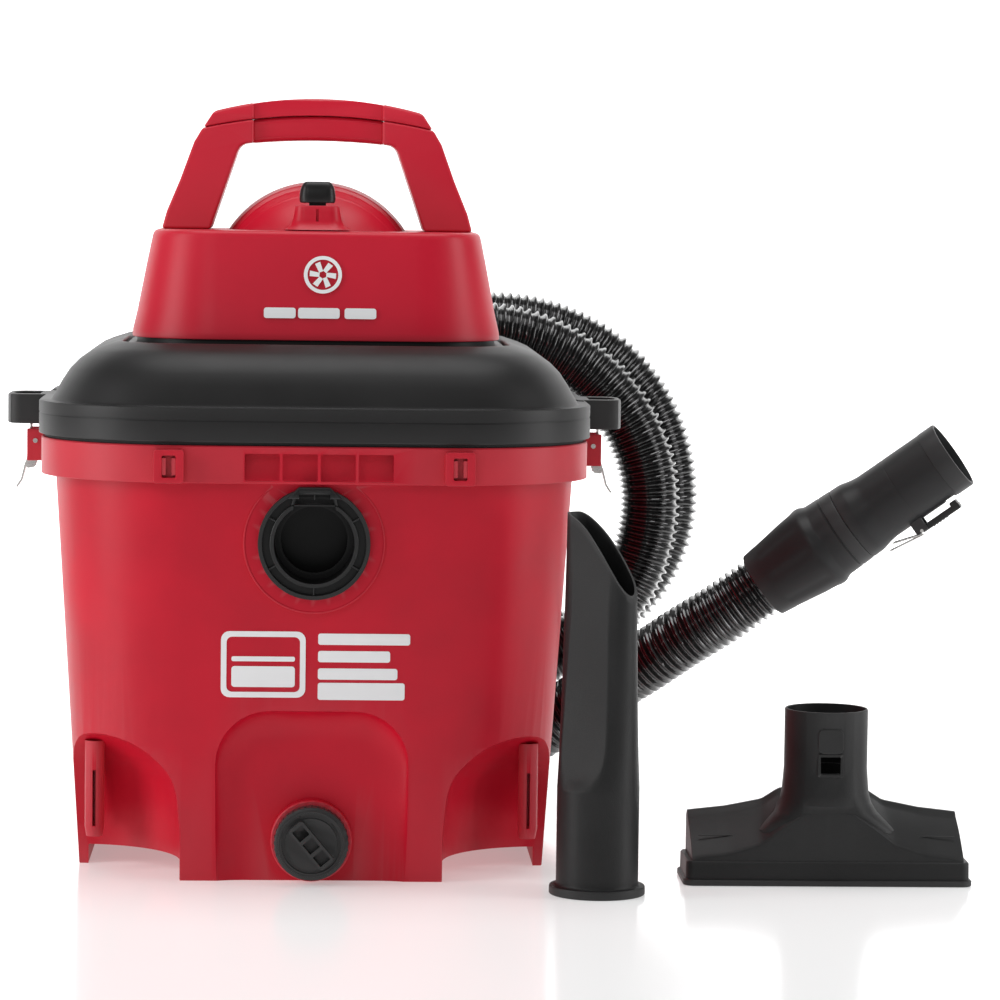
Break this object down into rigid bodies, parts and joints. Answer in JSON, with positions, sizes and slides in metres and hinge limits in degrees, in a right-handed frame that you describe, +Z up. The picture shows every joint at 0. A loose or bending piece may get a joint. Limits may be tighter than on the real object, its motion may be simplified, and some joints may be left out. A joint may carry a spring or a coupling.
{
  "type": "wet/dry shop vacuum",
  "caption": "Upright wet/dry vacuum: square tank with drain and inlet, latched lid, motor head with carry handle, ribbed hose with cuff, crevice tool and nozzle.",
  "frame": {"origin": "on the floor, under the centre of the tank", "axes": "+Z up, -Y towards the front with the inlet and the drain, +X to the side of the hose and tools"},
  "size_m": [0.8404, 0.696, 0.636],
  "materials": {
    "tank_red": "satin, fine grain",
    "head_red": "smooth satin",
    "lid_black": "satin",
    "fitting_black": "satin",
    "tool_black": "fine spark grain",
    "cuff_grey": "satin",
    "hose_black": "glossy ribbed",
    "steel": "bright",
    "dark_steel": "laminated",
    "copper_wire": "enamelled wire",
    "brass": "plain",
    "carbon": "dry",
    "seal": "dull",
    "fan_nylon": "natural",
    "impeller_alu": "stamped",
    "filter_paper": "pleated",
    "float_white": "smooth"
  },
  "bodies": {
    "tank": {"tank": "tank_red", "inlet_port": "fitting_black", "inlet_gasket": "seal", "inlet_deflector": "fitting_black", "latch_pivot_pins": "steel"},
    "drain_seal": {"drain_washer": "seal"},
    "drain_plug": {"drain_cap": "fitting_black"},
    "lid": {"lid": "lid_black", "lid_gasket": "seal", "head_shell": "head_red", "motor_dome": "head_red", "carry_handle": "head_red", "handle_cap": "head_red", "handle_screws": "steel", "head_screws": "steel", "switch_housing": "fitting_black", "switch_pin": "steel", "cord_gland": "fitting_black", "blower_port": "fitting_black", "motor_housing": "fitting_black", "stator_core": "dark_steel", "field_coils": "copper_wire", "brush_holders": "brass", "carbon_brushes": "carbon", "motor_bearings": "steel", "impeller_housing": "steel", "filter_cage": "fitting_black", "hose_plug": "cuff_grey", "hose": "hose_black", "cuff_sleeve": "cuff_grey"},
    "switch": {"switch_cap": "fitting_black"},
    "rotor": {"motor_shaft": "steel", "rotor_core": "dark_steel", "rotor_windings": "copper_wire", "commutator": "copper_wire", "cooling_fan": "fan_nylon", "impeller": "impeller_alu", "impeller_nut": "steel"},
    "float": {"float_ball": "float_white"},
    "filter": {"filter_cartridge": "filter_paper", "filter_end_caps": "seal", "filter_retainer": "fitting_black"},
    "knob": {"retainer_knob": "head_red"},
    "lever_left": {"latch_lever_left": "steel", "link_pin_left": "steel"},
    "strap_left": {"latch_strap_left": "steel"},
    "lever_right": {"latch_lever_right": "steel", "link_pin_right": "steel"},
    "strap_right": {"latch_strap_right": "steel"},
    "cuff": {"cuff_tube": "cuff_grey", "latch_pin": "steel"},
    "cuff_button": {"cuff_latch": "fitting_black", "latch_spring": "steel"},
    "crevice": {"crevice_tool": "tool_black"},
    "nozzle": {"utility_nozzle": "tool_black"}
  },
  "joints": [
    {"name": "lid_lift", "type": "slide", "parent": "tank", "child": "lid", "axis": [0, 0, 1], "range_m": [0, 0.28]},
    {"name": "drain_turn", "type": "hinge", "parent": "drain_seal", "child": "drain_plug", "pos_m": [0, -0.2, 0.034], "axis": [0, -1, 0], "range_deg": [0, 1080]},
    {"name": "drain_out", "type": "slide", "parent": "tank", "child": "drain_seal", "axis": [0, -1, 0], "range_m": [0, 0.012]},
    {"name": "switch_rock", "type": "hinge", "parent": "lid", "child": "switch", "pos_m": [0, -0.068, 0.542], "axis": [1, 0, 0], "range_deg": [-7, 7]},
    {"name": "rotor_spin", "type": "hinge", "parent": "lid", "child": "rotor", "pos_m": [0, 0, 0.46], "axis": [0, 0, 1], "continuous": true},
    {"name": "float_rise", "type": "slide", "parent": "lid", "child": "float", "axis": [0, 0, 1], "range_m": [0, 0.1]},
    {"name": "filter_pull", "type": "slide", "parent": "lid", "child": "filter", "axis": [0, 0, -1], "range_m": [0, 0.145]},
    {"name": "knob_turn", "type": "hinge", "parent": "filter", "child": "knob", "pos_m": [0, 0, 0.19], "axis": [0, 0, 1], "continuous": true},
    {"name": "lever_left_open", "type": "hinge", "parent": "tank", "child": "lever_left", "pos_m": [-0.236, 0, 0.345], "axis": [0, 1, 0], "range_deg": [0, 90]},
    {"name": "strap_left_follow", "type": "hinge", "parent": "lever_left", "child": "strap_left", "pos_m": [-0.239, 0, 0.331], "axis": [0, 1, 0], "range_deg": [-90, 0]},
    {"name": "lever_right_open", "type": "hinge", "parent": "tank", "child": "lever_right", "pos_m": [0.236, 0, 0.345], "axis": [0, -1, 0], "range_deg": [0, 90]},
    {"name": "strap_right_follow", "type": "hinge", "parent": "lever_right", "child": "strap_right", "pos_m": [0.239, 0, 0.331], "axis": [0, -1, 0], "range_deg": [-90, 0]},
    {"name": "cuff_swivel", "type": "hinge", "parent": "lid", "child": "cuff", "pos_m": [0.4785, 0.12043, 0.27178], "axis": [0.785, -0.1957, 0.5878], "continuous": true},
    {"name": "cuff_button_press", "type": "hinge", "parent": "cuff", "child": "cuff_button", "pos_m": [0.53742, 0.10574, 0.26646], "axis": [0.2419, 0.9703, 0], "range_deg": [-6, 0], "stiffness_Nm_per_rad": 0.4},
    {"name": "crevice_lift", "type": "slide", "parent": "tank", "child": "crevice", "axis": [0, 0, 1], "range_m": [0, 0.2]},
    {"name": "nozzle_lift", "type": "slide", "parent": "tank", "child": "nozzle", "axis": [0, 0, 1], "range_m": [0, 0.2]}
  ],
  "couplings": [
    {"joint": "drain_out", "follows": "drain_turn", "m_per_rad": 0.00063662},
    {"joint": "strap_left_follow", "follows": "lever_left_open", "ratio": -1},
    {"joint": "strap_right_follow", "follows": "lever_right_open", "ratio": -1}
  ]
}
